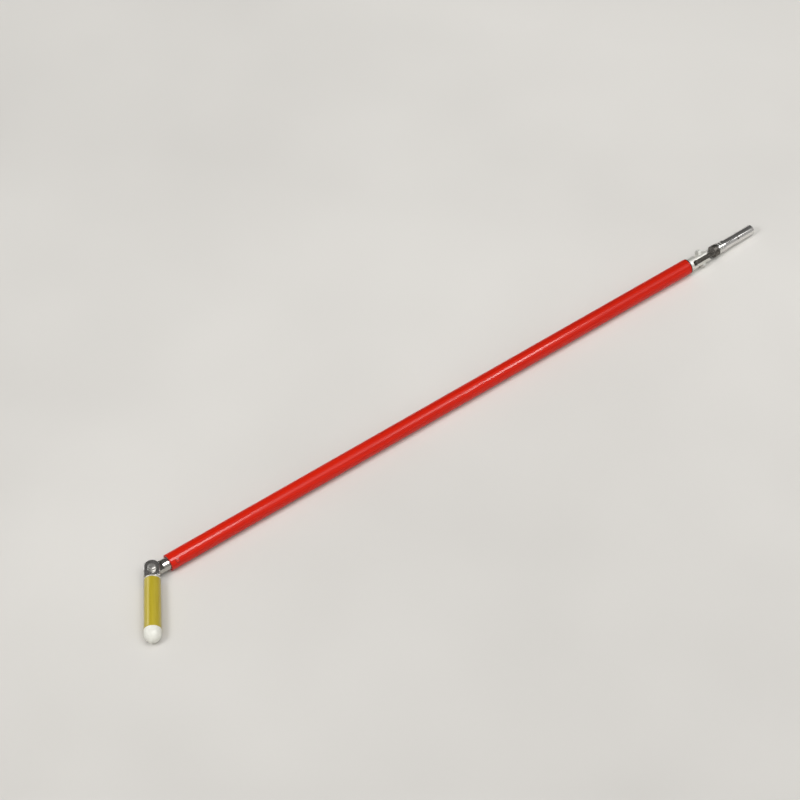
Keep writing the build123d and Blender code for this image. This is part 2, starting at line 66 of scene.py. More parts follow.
# Floor: a smooth pale floor that the stick lies on, painted a warm light grey that is a little uneven in
# broad, soft clouds, with painted light that makes it lighter towards the far end. It reaches far past the
# picture.
FLOOR_HALF = 40.0
FLOOR_DARK = (0.61, 0.594, 0.564, 1)
FLOOR_LIGHT = (0.88, 0.86, 0.82, 1)
PAINTED_LIGHT_FROM = (-1.8, -0.6, 0)
PAINTED_LIGHT_TURN = radians(18.4)
PAINTED_LIGHT_OVER = 2.4
PAINTED_LIGHT_SHARE = 0.4
CLOUD = (0.6, 0.6, 0.6)
CLOUD_SHARE = 0.25
PATTERN_LOW = 0.3
PATTERN_HIGH = 0.7


def new_material(name):
    """A material with one Principled shader, and that shader."""
    material = bpy.data.materials.new(name)
    material.use_nodes = True
    return material, material.node_tree.nodes["Principled BSDF"]


def add_noise(material, lump, detail=3.0, turn=0.0):
    """A noise on Object coordinates: its lumps have a size in metres along X, Y and Z, turned about Z."""
    nodes, links = material.node_tree.nodes, material.node_tree.links
    coordinates = nodes.new("ShaderNodeTexCoord")
    mapping = nodes.new("ShaderNodeMapping")
    mapping.vector_type = "TEXTURE"
    mapping.inputs["Rotation"].default_value = (0, 0, turn)
    mapping.inputs["Scale"].default_value = lump
    noise = nodes.new("ShaderNodeTexNoise")
    noise.inputs["Scale"].default_value = 1.0
    noise.inputs["Detail"].default_value = detail
    links.new(coordinates.outputs["Object"], mapping.inputs["Vector"])
    links.new(mapping.outputs["Vector"], noise.inputs["Vector"])
    return noise.outputs["Fac"]


def vary_colour(material, shader, pattern, dark, light):
    """The shader's colour goes from dark to light with a pattern."""
    ramp = material.node_tree.nodes.new("ShaderNodeValToRGB")
    ramp.color_ramp.elements[0].position = PATTERN_LOW
    ramp.color_ramp.elements[0].color = dark
    ramp.color_ramp.elements[1].position = PATTERN_HIGH
    ramp.color_ramp.elements[1].color = light
    material.node_tree.links.new(pattern, ramp.inputs["Fac"])
    material.node_tree.links.new(ramp.outputs["Color"], shader.inputs["Base Color"])


def vary_roughness(material, shader, pattern, on_dark, on_light):
    """The shader's roughness goes from its value on dark spots to that on light ones, with a pattern."""
    spread = material.node_tree.nodes.new("ShaderNodeMapRange")
    spread.inputs["From Min"].default_value = PATTERN_LOW
    spread.inputs["From Max"].default_value = PATTERN_HIGH
    spread.inputs["To Min"].default_value = on_dark
    spread.inputs["To Max"].default_value = on_light
    material.node_tree.links.new(pattern, spread.inputs["Value"])
    material.node_tree.links.new(spread.outputs["Result"], shader.inputs["Roughness"])


def add_relief(material, shader, pattern, depth, strength=1.0):
    """The surface rises and falls with a pattern, over a depth in metres."""
    bump = material.node_tree.nodes.new("ShaderNodeBump")
    bump.inputs["Strength"].default_value = strength
    bump.inputs["Distance"].default_value = depth
    material.node_tree.links.new(pattern, bump.inputs["Height"])
    material.node_tree.links.new(bump.outputs["Normal"], shader.inputs["Normal"])


floor_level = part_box("pole_tube")[0][2]
floor_paint, floor_shader = new_material("floor_paint")
floor_shader.inputs["Roughness"].default_value = 0.75
floor_shader.inputs["Specular IOR Level"].default_value = 0.15
floor_clouds = add_noise(floor_paint, CLOUD, detail=2.0)
floor_nodes, floor_links = floor_paint.node_tree.nodes, floor_paint.node_tree.links
floor_place = floor_nodes.new("ShaderNodeTexCoord")
# Painted light: a gradient in the floor's colour makes it lighter towards the far end, in place of the fall of the
# light.
painted_light_line = floor_nodes.new("ShaderNodeMapping")
painted_light_line.vector_type = "TEXTURE"
painted_light_line.inputs["Location"].default_value = PAINTED_LIGHT_FROM
painted_light_line.inputs["Rotation"].default_value = (0, 0, PAINTED_LIGHT_TURN)
painted_light_line.inputs["Scale"].default_value = (PAINTED_LIGHT_OVER, 1, 1)
painted_light_gradient = floor_nodes.new("ShaderNodeTexGradient")
faint_clouds = floor_nodes.new("ShaderNodeMath")
faint_clouds.operation = "MULTIPLY_ADD"
faint_clouds.inputs[1].default_value = CLOUD_SHARE
faint_clouds.inputs[2].default_value = 0.5 - (CLOUD_SHARE + PAINTED_LIGHT_SHARE) / 2
floor_tone = floor_nodes.new("ShaderNodeMath")
floor_tone.operation = "MULTIPLY_ADD"
floor_tone.inputs[1].default_value = PAINTED_LIGHT_SHARE
floor_links.new(floor_place.outputs["Object"], painted_light_line.inputs["Vector"])
floor_links.new(painted_light_line.outputs["Vector"], painted_light_gradient.inputs["Vector"])
floor_links.new(floor_clouds, faint_clouds.inputs[0])
floor_links.new(painted_light_gradient.outputs["Fac"], floor_tone.inputs[0])
floor_links.new(faint_clouds.outputs["Value"], floor_tone.inputs[2])
vary_colour(floor_paint, floor_shader, floor_tone.outputs["Value"], FLOOR_DARK, FLOOR_LIGHT)
floor_mesh = bpy.data.meshes.new("floor")
floor_sides = [(-1, -1), (1, -1), (1, 1), (-1, 1)]
floor_corners = [(x * FLOOR_HALF, y * FLOOR_HALF, floor_level) for x, y in floor_sides]
floor_mesh.from_pydata(floor_corners, [], [(0, 1, 2, 3)])
floor_mesh.materials.append(floor_paint)
floor = bpy.data.objects.new("floor", floor_mesh)
bpy.context.scene.collection.objects.link(floor)

# Light: a room that is dim behind the pole and paler in front of it, a soft key light over the near
# end, a broad fill overhead, a window behind the grip, and ceiling lamps that only show as streaks.
ROOM_TINT = (1.0, 0.985, 0.96, 1)
PALE_SIDE = 0.42
PALE_UNTIL = -0.6
DIM_SIDE = 0.13
DIM_FROM = 0.3
KEY_PLACE = (-3.1, 0.1, 2.4)
KEY_TARGET = (-0.9, 0, 0)
KEY_SIZE = (1.3, 0.9)
KEY_WATTS = 38
FILL_PLACE = (-0.2, -1.4, 7.0)
FILL_TARGET = (0.3, 0.5, 0)
FILL_SIZE = (7.0, 7.0)
FILL_WATTS = 320
WINDOW_PLACE = (-3.2, 3.4, 1.8)
WINDOW_TARGET = (-1.4, 0, 0)
WINDOW_SIZE = (3.2, 1.8)
WINDOW_WATTS = 52
CEILING = 2.5
LAMP_MIDDLE = -1.05
LAMP_WIDTH = 1.4
LAMP_WATTS_PER_METRE = {
    "near_lamp": 82.0,
    "shaded_lamp": 20.0,
    "middle_lamp": 125.0,
    "far_lamp": 12.0,
}
LAMP_REACH = {
    "near_lamp": (-0.95, -0.37),
    "shaded_lamp": (0.22, 0.58),
    "middle_lamp": (0.6, 0.88),
    "far_lamp": (1.5, 2.4),
}
room = bpy.data.worlds.new("room")
room.use_nodes = True
room_glow = room.node_tree.nodes["Background"]
room_glow.inputs["Color"].default_value = ROOM_TINT
room_direction = room.node_tree.nodes.new("ShaderNodeTexCoord")
room_split = room.node_tree.nodes.new("ShaderNodeSeparateXYZ")
room_fade = room.node_tree.nodes.new("ShaderNodeMapRange")
room_fade.inputs["From Min"].default_value = PALE_UNTIL
room_fade.inputs["From Max"].default_value = DIM_FROM
room_fade.inputs["To Min"].default_value = PALE_SIDE
room_fade.inputs["To Max"].default_value = DIM_SIDE
room.node_tree.links.new(room_direction.outputs["Generated"], room_split.inputs["Vector"])
room.node_tree.links.new(room_split.outputs["Y"], room_fade.inputs["Value"])
room.node_tree.links.new(room_fade.outputs["Result"], room_glow.inputs["Strength"])
bpy.context.scene.world = room


def hang_lamp(name, place, target, size, watts, in_gloss=False):
    """A soft rectangular light at a place, facing a target: it lights matt faces, or only shows in gloss."""
    lamp = bpy.data.lights.new(name, "AREA")
    lamp.shape = "RECTANGLE"
    lamp.size, lamp.size_y = size
    lamp.energy = watts
    holder = bpy.data.objects.new(name, lamp)
    holder.location = place
    holder.rotation_euler = (Vector(target) - Vector(place)).to_track_quat("-Z", "Y").to_euler()
    holder.visible_diffuse = not in_gloss
    holder.visible_glossy = in_gloss
    bpy.context.scene.collection.objects.link(holder)


hang_lamp("soft_key", KEY_PLACE, KEY_TARGET, KEY_SIZE, KEY_WATTS)
hang_lamp("overhead_fill", FILL_PLACE, FILL_TARGET, FILL_SIZE, FILL_WATTS)
hang_lamp("back_window", WINDOW_PLACE, WINDOW_TARGET, WINDOW_SIZE, WINDOW_WATTS, in_gloss=True)
for name, (start, end) in LAMP_REACH.items():
    place = Vector(((start + end) / 2, LAMP_MIDDLE, CEILING))
    below = (place.x, place.y, 0)
    watts = LAMP_WATTS_PER_METRE[name] * (end - start)
    hang_lamp(name, place, below, (end - start, LAMP_WIDTH), watts, in_gloss=True)

# Pole tube: a hollow rod of glass strands in red epoxy, pulled through a die, so faint strands run
# along it under a glossy skin. Both ends are sawn square and their edges eased.
MM = 0.001
RED_DEEP = (0.57, 0.0095, 0.0010, 1)
RED_BRIGHT = (0.70, 0.0150, 0.0018, 1)
TUBE_WALL = 3.0 * MM
TUBE_EDGE = 0.5 * MM
STRAND = (200 * MM, 2.4 * MM, 2.4 * MM)
STRAND_RELIEF = 0.02 * MM
SHARP_ANGLE = radians(30)
pole_line = Vector((1, 0, 0))
hinge = {joint["name"]: joint for joint in frame["joints"]}
head_pivot = Vector(hinge["head_tilt"]["pos_m"])


def span(node, pivot, line):
    """A CAD node's first and last station along a line from a pivot, and its largest radius about it."""
    reaches = [point.co - pivot for point in frame["nodes"][node].data.vertices]
    stations = [reach.dot(line) for reach in reaches]
    radius = max((reach - line * station).length for reach, station in zip(reaches, stations))
    return min(stations), max(stations), radius


def make_piece(name, maker, material):
    """A smooth-shaded object from the mesh in hand, with its sharp edges kept."""
    mesh = bpy.data.meshes.new(name)
    maker.to_mesh(mesh)
    maker.free()
    for face in mesh.polygons:
        face.use_smooth = True
    mesh.set_sharp_from_angle(angle=SHARP_ANGLE)
    mesh.materials.append(material)
    piece = bpy.data.objects.new(name, mesh)
    bpy.context.scene.collection.objects.link(piece)
    return piece


def ring_outline(start, end, bore, radius):
    """The closed outline of a plain ring or tube between two stations."""
    return [(start, bore), (start, radius), (end, radius), (end, bore)]


def turn_piece(name, pivot, line, outline, material, steps=128):
    """A piece turned on a lathe about a line, from its closed outline of (station, radius) points."""
    across = line.orthogonal().normalized()
    over = line.cross(across)
    maker = bmesh.new()
    rings = []
    for station, radius in outline:
        middle = pivot + line * station
        turns = [2 * pi * step / steps for step in range(steps if radius else 1)]
        spokes = [across * cos(turn) + over * sin(turn) for turn in turns]
        rings.append([maker.verts.new(middle + spoke * radius) for spoke in spokes])
    for ring, following in zip(rings, rings[1:] + rings[:1]):
        for step in range(steps):
            after = (step + 1) % steps
            corners = [ring[step % len(ring)], ring[after % len(ring)]]
            corners += [following[after % len(following)], following[step % len(following)]]
            corners = list(dict.fromkeys(corners))
            if len(corners) > 2:
                maker.faces.new(corners)
    bmesh.ops.recalc_face_normals(maker, faces=maker.faces)
    return make_piece(name, maker, material)


def ease_edges(piece, width, segments=3):
    """Round a piece's sharp edges."""
    bevel = piece.modifiers.new("eased_edges", "BEVEL")
    bevel.width = width
    bevel.segments = segments
    bevel.limit_method = "ANGLE"
    bevel.angle_limit = SHARP_ANGLE
    bevel.harden_normals = True


def put_on(piece, body, slot, *nodes):
    """A piece rides on a body in place of CAD nodes. Its slot argument is not used."""
    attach(piece, body)
    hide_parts(*nodes)


red_resin, resin_shader = new_material("red_resin")
resin_shader.inputs["Specular IOR Level"].default_value = 0.1
resin_shader.inputs["Coat Weight"].default_value = 0.26
resin_shader.inputs["Coat Roughness"].default_value = 0.12
strands = add_noise(red_resin, STRAND, detail=4.0)
vary_colour(red_resin, resin_shader, strands, RED_DEEP, RED_BRIGHT)
vary_roughness(red_resin, resin_shader, strands, on_dark=0.32, on_light=0.44)
add_relief(red_resin, resin_shader, strands, STRAND_RELIEF, strength=0.4)
tube_start, tube_end, tube_radius = span("pole_tube", head_pivot, pole_line)
tube_bore = tube_radius - TUBE_WALL
tube_outline = ring_outline(tube_start, tube_end, tube_bore, tube_radius)
red_tube = turn_piece("red_tube", head_pivot, pole_line, tube_outline, red_resin)
ease_edges(red_tube, TUBE_EDGE)
put_on(red_tube, "pole", "red_fibreglass", "pole_tube")

# Foam core: rigid closed-cell foam, poured into the tube between its end pieces to keep water out.
# It is hidden once the ends are glued in.
FOAM_DARK = (0.62, 0.50, 0.30, 1)
FOAM_LIGHT = (0.80, 0.70, 0.48, 1)
FOAM_CELL = (1.1 * MM,) * 3
FOAM_RELIEF = 0.4 * MM


def dress(node, material):
    """A CAD node keeps its shape and gets a finish."""
    frame["nodes"][node].material_slots[0].material = material


foam, foam_shader = new_material("foam")
foam_cells = add_noise(foam, FOAM_CELL, detail=2.0)
vary_colour(foam, foam_shader, foam_cells, FOAM_DARK, FOAM_LIGHT)
vary_roughness(foam, foam_shader, foam_cells, on_dark=0.8, on_light=0.95)
add_relief(foam, foam_shader, foam_cells, FOAM_RELIEF)
dress("foam_core", foam)

# Head seal: a black rubber ring, squeezed between the sawn end of the tube and the fork's shoulder
# so that its lip bulges out a little all round.
RUBBER_DARK = (0.008, 0.008, 0.008, 1)
RUBBER_LIGHT = (0.022, 0.022, 0.021, 1)
RUBBER_GRAIN = (0.8 * MM,) * 3
RUBBER_RELIEF = 0.03 * MM
SEAL_EDGE = 0.7 * MM
black_rubber, rubber_shader = new_material("black_rubber")
rubber_shader.inputs["Specular IOR Level"].default_value = 0.35
rubber_skin = add_noise(black_rubber, RUBBER_GRAIN)
vary_colour(black_rubber, rubber_shader, rubber_skin, RUBBER_DARK, RUBBER_LIGHT)
vary_roughness(black_rubber, rubber_shader, rubber_skin, on_dark=0.6, on_light=0.8)
add_relief(black_rubber, rubber_shader, rubber_skin, RUBBER_RELIEF)
seal_start, seal_end, seal_radius = span("head_seal", head_pivot, pole_line)
seal_outline = ring_outline(seal_start, seal_end, tube_bore, seal_radius)
seal_ring = turn_piece("seal_ring", head_pivot, pole_line, seal_outline, black_rubber)
ease_edges(seal_ring, SEAL_EDGE, segments=4)
put_on(seal_ring, "pole", "black_rubber", "head_seal")

# Head fork: a light-alloy casting, turned, slotted and glued into the tube. Its two ears carry the
# bolt between milled flats, and the skin is pale, satin and slightly grained from the mould.
ALLOY_DARK = (0.66, 0.65, 0.60, 1)
ALLOY_LIGHT = (0.82, 0.81, 0.76, 1)
ALLOY_GRAIN = (2.8 * MM,) * 3
ALLOY_RELIEF = 0.06 * MM
FORK_EDGE = 0.4 * MM
SEAM_GAP = 0.001 * MM
FLAT_ANGLE = radians(0.5)


def merged_copy(node):
    """A CAD node's mesh with its seams closed and its flat faces made whole."""
    maker = bmesh.new()
    maker.from_mesh(frame["nodes"][node].data)
    bmesh.ops.remove_doubles(maker, verts=maker.verts, dist=SEAM_GAP)
    bmesh.ops.dissolve_limit(maker, angle_limit=FLAT_ANGLE, verts=maker.verts, edges=maker.edges)
    return maker


def eased_copy(node, name, material, width):
    """A copy of a CAD node with its edges rounded."""
    piece = make_piece(name, merged_copy(node), material)
    ease_edges(piece, width)
    return piece


satin_alloy, alloy_shader = new_material("satin_alloy")
alloy_shader.inputs["Metallic"].default_value = 0.6
alloy_grain = add_noise(satin_alloy, ALLOY_GRAIN, detail=5.0)
vary_colour(satin_alloy, alloy_shader, alloy_grain, ALLOY_DARK, ALLOY_LIGHT)
vary_roughness(satin_alloy, alloy_shader, alloy_grain, on_dark=0.38, on_light=0.54)
add_relief(satin_alloy, alloy_shader, alloy_grain, ALLOY_RELIEF, strength=0.6)
alloy_fork = eased_copy("head_fork", "alloy_fork", satin_alloy, FORK_EDGE)
put_on(alloy_fork, "pole", "light_alloy", "head_fork")

# Head tongue: a blackened steel forging. Its flat bar swings in the fork, its round collar holds the
# shank, and the black is rubbed through to grey along the edges.
BLACKENED_DARK = (0.050, 0.046, 0.040, 1)
BLACKENED_LIGHT = (0.150, 0.138, 0.122, 1)
BLACKENED_GRAIN = (3.8 * MM,) * 3
BLACKENED_RELIEF = 0.05 * MM
TONGUE_EDGE = 0.4 * MM
RUBBED_STEEL = (0.42, 0.40, 0.37, 1)
WEAR_AND_HIGHLIGHT_WIDTH = 1.0 * MM
WEAR_AND_HIGHLIGHT_STARTS_AT = 0.995
WEAR_AND_HIGHLIGHT_FULL_AT = 0.90
WEAR_AND_HIGHLIGHT_PATTERN_HIGH = 0.55


def wear_and_highlight_edges(material, shader, pattern, edge_colour, width):
    """A piece's edges take an edge colour over a width, unevenly with a pattern: wear rubbed to bare steel, and a
    painted highlight on pale metals.
    """
    nodes, links = material.node_tree.nodes, material.node_tree.links
    skin = shader.inputs["Base Color"].links[0].from_socket
    face = nodes.new("ShaderNodeNewGeometry")
    rounded = nodes.new("ShaderNodeBevel")
    rounded.samples = 8
    rounded.inputs["Radius"].default_value = width
    lean = nodes.new("ShaderNodeVectorMath")
    lean.operation = "DOT_PRODUCT"
    edge = nodes.new("ShaderNodeMapRange")
    edge.inputs["From Min"].default_value = WEAR_AND_HIGHLIGHT_STARTS_AT
    edge.inputs["From Max"].default_value = WEAR_AND_HIGHLIGHT_FULL_AT
    uneven = nodes.new("ShaderNodeMapRange")
    uneven.inputs["From Min"].default_value = PATTERN_LOW
    uneven.inputs["From Max"].default_value = WEAR_AND_HIGHLIGHT_PATTERN_HIGH
    wear_and_highlight = nodes.new("ShaderNodeMath")
    wear_and_highlight.operation = "MULTIPLY"
    # The edge colour is rubbed-through wear, and on pale metals also a painted highlight.
    mix = nodes.new("ShaderNodeMix")
    mix.data_type = "RGBA"
    mix.inputs["B"].default_value = edge_colour
    links.new(face.outputs["True Normal"], lean.inputs[0])
    links.new(rounded.outputs["Normal"], lean.inputs[1])
    links.new(lean.outputs["Value"], edge.inputs["Value"])
    links.new(pattern, uneven.inputs["Value"])
    links.new(edge.outputs["Result"], wear_and_highlight.inputs[0])
    links.new(uneven.outputs["Result"], wear_and_highlight.inputs[1])
    links.new(wear_and_highlight.outputs["Value"], mix.inputs["Factor"])
    links.new(skin, mix.inputs["A"])
    links.new(mix.outputs["Result"], shader.inputs["Base Color"])


black_steel, blackened_shader = new_material("black_steel")
blackened_shader.inputs["Metallic"].default_value = 0.8
blackened_skin = add_noise(black_steel, BLACKENED_GRAIN, detail=6.0)
vary_colour(black_steel, blackened_shader, blackened_skin, BLACKENED_DARK, BLACKENED_LIGHT)
vary_roughness(black_steel, blackened_shader, blackened_skin, on_dark=0.28, on_light=0.45)
add_relief(black_steel, blackened_shader, blackened_skin, BLACKENED_RELIEF, strength=0.5)
wear_and_highlight_edges(black_steel, blackened_shader, blackened_skin, RUBBED_STEEL, WEAR_AND_HIGHLIGHT_WIDTH)
steel_tongue = eased_copy("head_tongue", "steel_tongue", black_steel, TONGUE_EDGE)
put_on(steel_tongue, "head", "black_steel", "head_tongue")

# Pivot bushes: plain sintered bronze bushes, pressed into the eyes of both tongues, so that the
# bolts run smoothly in them. Only their end faces could ever be seen.
BRONZE_DARK = (0.42, 0.24, 0.09, 1)
BRONZE_LIGHT = (0.62, 0.38, 0.17, 1)
BRONZE_PORE = (0.6 * MM,) * 3
bronze, bronze_shader = new_material("bronze")
bronze_shader.inputs["Metallic"].default_value = 1.0
bronze_pores = add_noise(bronze, BRONZE_PORE, detail=4.0)
vary_colour(bronze, bronze_shader, bronze_pores, BRONZE_DARK, BRONZE_LIGHT)
vary_roughness(bronze, bronze_shader, bronze_pores, on_dark=0.4, on_light=0.6)
dress("head_bush", bronze)
dress("knuckle_bush", bronze)

# Tool shank: a steel bar turned to size and chrome plated, which the sockets of tools slide on. Its
# tip is chamfered, and a hole for a locking pin goes right through it.
CHROME_DARK = (0.68, 0.67, 0.655, 1)
CHROME_LIGHT = (0.80, 0.79, 0.775, 1)
CHROME_WEAR = (40 * MM, 6 * MM, 6 * MM)
SHANK_EDGE = 0.25 * MM
polished_chrome, chrome_shader = new_material("polished_chrome")
chrome_shader.inputs["Metallic"].default_value = 1.0
chrome_wear = add_noise(polished_chrome, CHROME_WEAR, detail=2.0)
vary_colour(polished_chrome, chrome_shader, chrome_wear, CHROME_DARK, CHROME_LIGHT)
vary_roughness(polished_chrome, chrome_shader, chrome_wear, on_dark=0.12, on_light=0.17)
chrome_shank = eased_copy("tool_shank", "chrome_shank", polished_chrome, SHANK_EDGE)
put_on(chrome_shank, "head", "chrome_steel", "tool_shank")

# Shank rings: two rings of round spring wire, sprung into the grooves of the shank's shoulder. They
# stand out of the grooves a little and keep a tool's socket from rattling.
RING_COUNT = 2
RING_WIDTH = 2.0 * MM
RING_STEPS = 96
WIRE_STEPS = 20
ZINC_DARK = (0.62, 0.62, 0.58, 1)
ZINC_LIGHT = (0.80, 0.80, 0.76, 1)
ZINC_BLOOM = (3.2 * MM,) * 3
head_line = Vector(frame["record"]["mounts"][0]["axis"]).normalized()


def new_tree(name, sizes):
    """A node tree with a named input for each size, and the node that gives them."""
    tree = bpy.data.node_groups.new(name, "GeometryNodeTree")
    for label, kind in sizes.items():
        tree.interface.new_socket(label, in_out="INPUT", socket_type="NodeSocket" + kind)
    tree.interface.new_socket("Geometry", in_out="OUTPUT", socket_type="NodeSocketGeometry")
    return tree, tree.nodes.new("NodeGroupInput")


def finish_tree(tree, shape, material):
    """The tree's last nodes: real geometry, shaded smooth, with a material."""
    realize = tree.nodes.new("GeometryNodeRealizeInstances")
    smooth = tree.nodes.new("GeometryNodeSetShadeSmooth")
    paint = tree.nodes.new("GeometryNodeSetMaterial")
    paint.inputs["Material"].default_value = material
    result = tree.nodes.new("NodeGroupOutput")
    for giver, taker in (
        (shape, realize),
        (realize.outputs[0], smooth),
        (smooth.outputs[0], paint),
        (paint.outputs[0], result),
    ):
        tree.links.new(giver, taker.inputs["Geometry"])


def grow_piece(name, tree, values):
    """A plain mesh piece from a node tree whose inputs have these values."""
    piece = bpy.data.objects.new(name, bpy.data.meshes.new(name))
    bpy.context.scene.collection.objects.link(piece)
    modifier = piece.modifiers.new("tree", "NODES")
    modifier.node_group = tree
    for socket in tree.interface.items_tree:
        if socket.in_out == "INPUT":
            modifier[socket.identifier] = values[socket.name]
    grown = piece.evaluated_get(bpy.context.evaluated_depsgraph_get())
    mesh = bpy.data.meshes.new_from_object(grown)
    piece.modifiers.remove(modifier)
    piece.data = mesh
    return piece


zinc_plate, zinc_shader = new_material("zinc_plate")
zinc_shader.inputs["Metallic"].default_value = 0.7
zinc_bloom = add_noise(zinc_plate, ZINC_BLOOM, detail=4.0)
vary_colour(zinc_plate, zinc_shader, zinc_bloom, ZINC_DARK, ZINC_LIGHT)
vary_roughness(zinc_plate, zinc_shader, zinc_bloom, on_dark=0.3, on_light=0.45)

ring_tree, ring_sizes = new_tree(
    "rings_on_a_line",
    {
        "First": "Vector",
        "Last": "Vector",
        "Count": "Int",
        "Ring Radius": "Float",
        "Wire Radius": "Float",
    },
)
ring_row = ring_tree.nodes.new("GeometryNodeCurvePrimitiveLine")
ring_places = ring_tree.nodes.new("GeometryNodeCurveToPoints")
ring_round = ring_tree.nodes.new("GeometryNodeCurvePrimitiveCircle")
ring_round.inputs["Resolution"].default_value = RING_STEPS
ring_wire = ring_tree.nodes.new("GeometryNodeCurvePrimitiveCircle")
ring_wire.inputs["Resolution"].default_value = WIRE_STEPS
ring_sweep = ring_tree.nodes.new("GeometryNodeCurveToMesh")
ring_copies = ring_tree.nodes.new("GeometryNodeInstanceOnPoints")
for giver, taker in (
    (ring_sizes.outputs["First"], ring_row.inputs["Start"]),
    (ring_sizes.outputs["Last"], ring_row.inputs["End"]),
    (ring_sizes.outputs["Count"], ring_places.inputs["Count"]),
    (ring_sizes.outputs["Ring Radius"], ring_round.inputs["Radius"]),
    (ring_sizes.outputs["Wire Radius"], ring_wire.inputs["Radius"]),
    (ring_row.outputs["Curve"], ring_places.inputs["Curve"]),
    (ring_round.outputs["Curve"], ring_sweep.inputs["Curve"]),
    (ring_wire.outputs["Curve"], ring_sweep.inputs["Profile Curve"]),
    (ring_places.outputs["Points"], ring_copies.inputs["Points"]),
    (ring_places.outputs["Rotation"], ring_copies.inputs["Rotation"]),
    (ring_sweep.outputs["Mesh"], ring_copies.inputs["Instance"]),
):
    ring_tree.links.new(giver, taker)
finish_tree(ring_tree, ring_copies.outputs["Instances"], zinc_plate)
rings_start, rings_end, rings_radius = span("shank_rings", head_pivot, head_line)
wire_radius = RING_WIDTH / 2
ring_values = {
    "First": head_pivot + head_line * (rings_start + wire_radius),
    "Last": head_pivot + head_line * (rings_end - wire_radius),
    "Count": RING_COUNT,
    "Ring Radius": rings_radius - wire_radius,
    "Wire Radius": wire_radius,
}
wire_rings = grow_piece("wire_rings", ring_tree, ring_values)
put_on(wire_rings, "head", "zinc_steel", "shank_rings")

# Head bolt, nut and washers: a zinc-plated hexagon bolt goes through both ears and the tongue's
# bush. Its nut sits on the upper side, and the end of the thread stands out of it.
THREAD_PITCH = 1.25 * MM
THREAD_RIDGE = 0.42 * MM
THREAD_START = 0.6 * MM
THREAD_STEPS = 48
RIDGE_STEPS = 10
HEX_EDGE = 0.25 * MM
WASHER_EDGE = 0.2 * MM
SHAFT_WIDTH = 8.0 * MM
bolt_line = Vector(hinge["head_tilt"]["axis"]).normalized()
nut_end = span("head_nut", head_pivot, bolt_line)[1]
bolt_end = span("head_bolt", head_pivot, bolt_line)[1]
shaft_radius = SHAFT_WIDTH / 2


def narrow_thread(maker, station, radius):
    """Turn the tip of a bolt down to the root of its thread, past a station along the bolt."""
    place = head_pivot + bolt_line * station
    for cut in (place, place + bolt_line * THREAD_RIDGE):
        everything = list(maker.verts) + list(maker.edges) + list(maker.faces)
        bmesh.ops.bisect_plane(maker, geom=everything, plane_co=cut, plane_no=bolt_line, dist=SEAM_GAP)
    for point in maker.verts:
        along = (point.co - head_pivot).dot(bolt_line)
        if along > station + THREAD_RIDGE / 2:
            middle = head_pivot + bolt_line * along
            point.co = middle + (point.co - middle) * (radius / shaft_radius)


bolt_maker = merged_copy("head_bolt")
narrow_thread(bolt_maker, nut_end - THREAD_START, shaft_radius - THREAD_RIDGE)
pivot_bolt = make_piece("pivot_bolt", bolt_maker, zinc_plate)
ease_edges(pivot_bolt, HEX_EDGE)
put_on(pivot_bolt, "pole", "zinc_steel", "head_bolt")
pivot_nut = eased_copy("head_nut", "pivot_nut", zinc_plate, HEX_EDGE)
put_on(pivot_nut, "pole", "zinc_steel", "head_nut")
pivot_washers = eased_copy("head_washers", "pivot_washers", zinc_plate, WASHER_EDGE)
put_on(pivot_washers, "pole", "zinc_steel", "head_washers")

thread_tree, thread_sizes = new_tree(
    "thread", {"Turns": "Float", "Radius": "Float", "Length": "Float", "Ridge": "Float"}
)
thread_path = thread_tree.nodes.new("GeometryNodeCurveSpiral")
thread_path.inputs["Resolution"].default_value = THREAD_STEPS
thread_ridge = thread_tree.nodes.new("GeometryNodeCurvePrimitiveCircle")
thread_ridge.inputs["Resolution"].default_value = RIDGE_STEPS
thread_sweep = thread_tree.nodes.new("GeometryNodeCurveToMesh")
thread_sweep.inputs["Fill Caps"].default_value = True
for giver, taker in (
    (thread_sizes.outputs["Turns"], thread_path.inputs["Rotations"]),
    (thread_sizes.outputs["Radius"], thread_path.inputs["Start Radius"]),
    (thread_sizes.outputs["Radius"], thread_path.inputs["End Radius"]),
    (thread_sizes.outputs["Length"], thread_path.inputs["Height"]),
    (thread_sizes.outputs["Ridge"], thread_ridge.inputs["Radius"]),
    (thread_path.outputs["Curve"], thread_sweep.inputs["Curve"]),
    (thread_ridge.outputs["Curve"], thread_sweep.inputs["Profile Curve"]),
):
    thread_tree.links.new(giver, taker)
finish_tree(thread_tree, thread_sweep.outputs["Mesh"], zinc_plate)
thread_length = bolt_end - nut_end - THREAD_RIDGE
thread_values = {
    "Turns": thread_length / THREAD_PITCH,
    "Radius": shaft_radius - THREAD_RIDGE,
    "Length": thread_length,
    "Ridge": THREAD_RIDGE,
}
bolt_thread = grow_piece("bolt_thread", thread_tree, thread_values)
bolt_turn = bolt_line.to_track_quat("Z", "Y").to_matrix().to_4x4()
bolt_thread.data.transform(Matrix.Translation(head_pivot + bolt_line * nut_end) @ bolt_turn)
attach(bolt_thread, "pole")

# Collar pin: a plain steel pin, driven through the collar and the shank's tail and ground off just
# below the collar's skin.
dress("collar_pin", zinc_plate)

# Lower sleeve: a thin spacer of black nylon that is glued between the lower shank and the tube. Only
# its end ring shows, as a dark line in the sawn mouth of the tube.
BLACK_NYLON_DARK = (0.012, 0.012, 0.012, 1)
BLACK_NYLON_LIGHT = (0.035, 0.034, 0.033, 1)
NYLON_GRAIN = (2.0 * MM,) * 3


def new_nylon(name, dark, light):
    """Turned nylon with a fine, slightly uneven skin."""
    nylon, shader = new_material(name)
    skin = add_noise(nylon, NYLON_GRAIN)
    vary_colour(nylon, shader, skin, dark, light)
    vary_roughness(nylon, shader, skin, on_dark=0.45, on_light=0.6)
    return nylon


dress("lower_sleeve", new_nylon("black_nylon", BLACK_NYLON_DARK, BLACK_NYLON_LIGHT))
